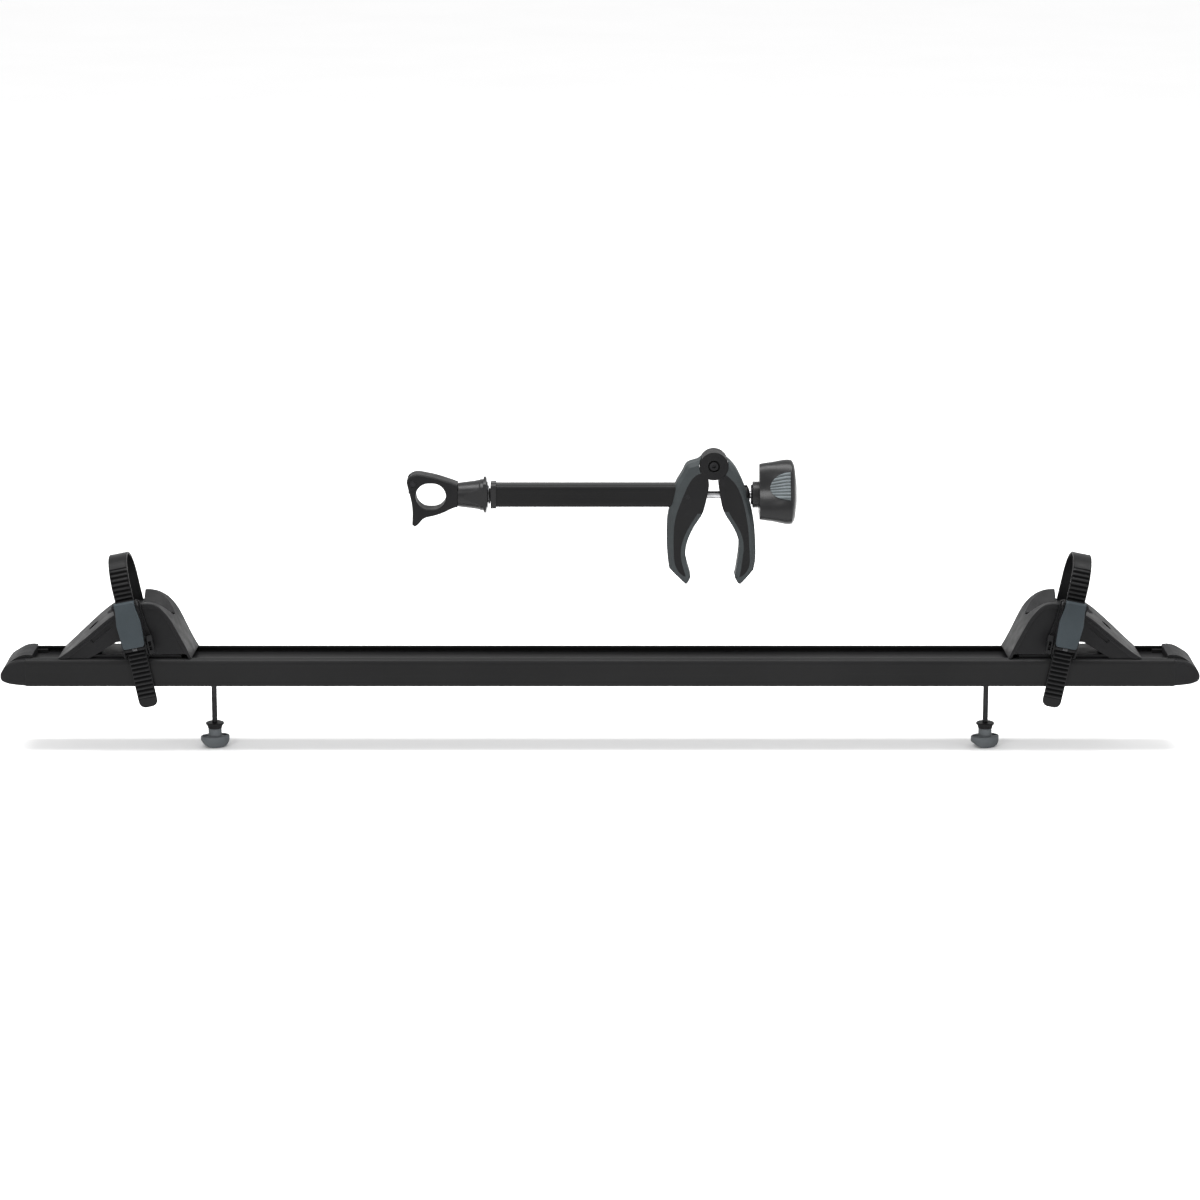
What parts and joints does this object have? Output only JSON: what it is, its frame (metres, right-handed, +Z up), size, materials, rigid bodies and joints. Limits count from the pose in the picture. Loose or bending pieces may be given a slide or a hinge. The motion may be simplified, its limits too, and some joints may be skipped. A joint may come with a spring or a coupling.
{
  "type": "bicycle carrier wheel rail with frame-holder arm",
  "caption": "Black aluminium wheel rail with end caps, sliding tyre cradles with ratchet straps, T-bolts with wing knobs, and a frame-holder arm with hook ring and knob clamp.",
  "frame": {"origin": "centre of the T-slot's mouth, on the rail's underside, half way along the rail", "axes": "+X along the rail, +Z up out of the tray, -Y the side with the strap buckles"},
  "size_m": [1.277, 0.082, 0.324],
  "materials": {
    "rail_black": "black anodised extrusion",
    "cap_plastic": "black moulded plastic, fine grain",
    "holder_plastic": "black moulded plastic, fine grain",
    "strap_plastic": "black flexible ladder strap, satin",
    "frame_plastic": "black moulded plastic",
    "lever_grey": "slate grey moulded plastic",
    "knob_grey": "mid grey moulded plastic",
    "jaw_plastic": "black moulded plastic",
    "pad_rubber": "dark grey soft pad",
    "grip_rubber": "light grey ribbed soft grip",
    "knob_plastic": "black satin plastic",
    "tube_black": "black powder-coated tube",
    "black_steel": "black zinc-plated steel",
    "bright_steel": "zinc-plated steel",
    "brass": "turned brass insert"
  },
  "bodies": {
    "rail_body": {"rail": "rail_black", "end_cap_left": "cap_plastic", "end_cap_right": "cap_plastic"},
    "holder_left": {"wheel_holder_left": "holder_plastic", "clamp_plate_left": "black_steel", "clamp_screws_left": "bright_steel", "strap_left": "strap_plastic", "strap_anchor_pin_left": "bright_steel", "buckle_frame_left": "frame_plastic", "frame_rivet_left": "black_steel", "buckle_pin_left": "black_steel"},
    "lever_left": {"buckle_lever_left": "lever_grey", "drive_spring_left": "bright_steel"},
    "drive_left": {"drive_pawl_left": "frame_plastic"},
    "release_left": {"release_pawl_left": "frame_plastic", "pawl_spring_left": "bright_steel"},
    "bolt_left": {"t_bolt_left": "black_steel"},
    "washer_left": {"cup_washer_left": "cap_plastic"},
    "wing_left": {"wing_knob_left": "knob_grey", "knob_insert_left": "brass"},
    "holder_right": {"wheel_holder_right": "holder_plastic", "clamp_plate_right": "black_steel", "clamp_screws_right": "bright_steel", "strap_right": "strap_plastic", "strap_anchor_pin_right": "bright_steel", "buckle_frame_right": "frame_plastic", "frame_rivet_right": "black_steel", "buckle_pin_right": "black_steel"},
    "lever_right": {"buckle_lever_right": "lever_grey", "drive_spring_right": "bright_steel"},
    "drive_right": {"drive_pawl_right": "frame_plastic"},
    "release_right": {"release_pawl_right": "frame_plastic", "pawl_spring_right": "bright_steel"},
    "bolt_right": {"t_bolt_right": "black_steel"},
    "washer_right": {"cup_washer_right": "cap_plastic"},
    "wing_right": {"wing_knob_right": "knob_grey", "knob_insert_right": "brass"},
    "arm": {"arm_tube": "tube_black", "end_bush": "knob_plastic", "arm_rivets": "black_steel", "fixed_jaw": "jaw_plastic", "fixed_jaw_rim": "pad_rubber", "fixed_jaw_pad": "pad_rubber", "pivot_bolt": "black_steel", "pivot_nut": "bright_steel", "jaw_spring": "bright_steel", "threaded_rod": "bright_steel"},
    "hook": {"hook_ring": "jaw_plastic", "gate_pin": "black_steel", "swivel_clip": "bright_steel", "collar_spring": "bright_steel"},
    "gate": {"hook_gate": "jaw_plastic"},
    "collar": {"lock_collar": "knob_plastic"},
    "jaw": {"moving_jaw": "jaw_plastic", "moving_jaw_rim": "pad_rubber", "moving_jaw_pad": "pad_rubber"},
    "thrust": {"thrust_washer": "black_steel"},
    "knob": {"clamp_knob": "knob_plastic", "knob_grips": "grip_rubber", "knob_nut": "brass"}
  },
  "joints": [
    {"name": "holder_slide_left", "type": "slide", "parent": "rail_body", "child": "holder_left", "axis": [1, 0, 0], "range_m": [-0.025, 0.3]},
    {"name": "lever_lift_left", "type": "hinge", "parent": "holder_left", "child": "lever_left", "pos_m": [-0.50219, -0.0426, 0.09058], "axis": [-0.9799, 0, -0.1994], "range_deg": [0, 80]},
    {"name": "drive_pawl_rock_left", "type": "hinge", "parent": "lever_left", "child": "drive_left", "pos_m": [-0.49999, -0.0416, 0.0798], "axis": [-0.9799, 0, -0.1994], "range_deg": [0, 10], "stiffness_Nm_per_rad": 0.01, "springref_deg": -11.46},
    {"name": "release_pawl_rock_left", "type": "hinge", "parent": "holder_left", "child": "release_left", "pos_m": [-0.49262, -0.041, 0.04354], "axis": [0.9799, 0, 0.1994], "range_deg": [0, 15], "stiffness_Nm_per_rad": 0.02, "springref_deg": -17.19},
    {"name": "bolt_slide_left", "type": "slide", "parent": "rail_body", "child": "bolt_left", "axis": [1, 0, 0], "range_m": [-0.16, 0.37]},
    {"name": "washer_rise_left", "type": "slide", "parent": "bolt_left", "child": "washer_left", "axis": [0, 0, 1], "range_m": [0, 0.03]},
    {"name": "wing_spin_left", "type": "hinge", "parent": "washer_left", "child": "wing_left", "pos_m": [-0.414, 0, -0.06], "axis": [0, 0, 1], "range_deg": [0, 10801]},
    {"name": "holder_slide_right", "type": "slide", "parent": "rail_body", "child": "holder_right", "axis": [-1, 0, 0], "range_m": [-0.025, 0.3]},
    {"name": "lever_lift_right", "type": "hinge", "parent": "holder_right", "child": "lever_right", "pos_m": [0.50219, -0.0426, 0.09058], "axis": [-0.9799, 0, 0.1994], "range_deg": [0, 80]},
    {"name": "drive_pawl_rock_right", "type": "hinge", "parent": "lever_right", "child": "drive_right", "pos_m": [0.49999, -0.0416, 0.0798], "axis": [-0.9799, 0, 0.1994], "range_deg": [0, 10], "stiffness_Nm_per_rad": 0.01, "springref_deg": -11.46},
    {"name": "release_pawl_rock_right", "type": "hinge", "parent": "holder_right", "child": "release_right", "pos_m": [0.49262, -0.041, 0.04354], "axis": [0.9799, 0, -0.1994], "range_deg": [0, 15], "stiffness_Nm_per_rad": 0.02, "springref_deg": -17.19},
    {"name": "bolt_slide_right", "type": "slide", "parent": "rail_body", "child": "bolt_right", "axis": [-1, 0, 0], "range_m": [-0.16, 0.37]},
    {"name": "washer_rise_right", "type": "slide", "parent": "bolt_right", "child": "washer_right", "axis": [0, 0, 1], "range_m": [0, 0.03]},
    {"name": "wing_spin_right", "type": "hinge", "parent": "washer_right", "child": "wing_right", "pos_m": [0.414, 0, -0.06], "axis": [0, 0, 1], "range_deg": [0, 10801]},
    {"name": "arm_lift", "type": "slide", "parent": "rail_body", "child": "arm", "axis": [0, 0, 1], "range_m": [0, 0.25]},
    {"name": "hook_swivel", "type": "hinge", "parent": "arm", "child": "hook", "pos_m": [-0.13, 0, 0.202], "axis": [1, 0, 0], "range_deg": [-90, 90]},
    {"name": "gate_open", "type": "hinge", "parent": "hook", "child": "gate", "pos_m": [-0.198, 0, 0.2157], "axis": [0, 1, 0], "range_deg": [0, 50]},
    {"name": "collar_pull", "type": "slide", "parent": "hook", "child": "collar", "axis": [1, 0, 0], "range_m": [0, 0.0028], "stiffness_N_per_m": 600, "springref_m": -0.004, "deforming": ["collar_spring"]},
    {"name": "jaw_close", "type": "hinge", "parent": "arm", "child": "jaw", "pos_m": [0.1203, 0, 0.235], "axis": [0, 1, 0], "range_deg": [0, 13.6]},
    {"name": "knob_travel", "type": "slide", "parent": "arm", "child": "thrust", "axis": [-1, 0, 0], "range_m": [0, 0.00825]},
    {"name": "knob_spin", "type": "hinge", "parent": "thrust", "child": "knob", "pos_m": [0.18, 0, 0.202], "axis": [-1, 0, 0], "range_deg": [0, 2361.6]}
  ],
  "couplings": [
    {"joint": "wing_spin_left", "follows": "washer_rise_left", "rad_per_m": 6283.2},
    {"joint": "wing_spin_right", "follows": "washer_rise_right", "rad_per_m": 6283.2},
    {"joint": "knob_travel", "follows": "knob_spin", "m_per_rad": 0.00019894},
    {"joint": "jaw_close", "follows": "knob_spin", "ratio": 0.0057165}
  ]
}
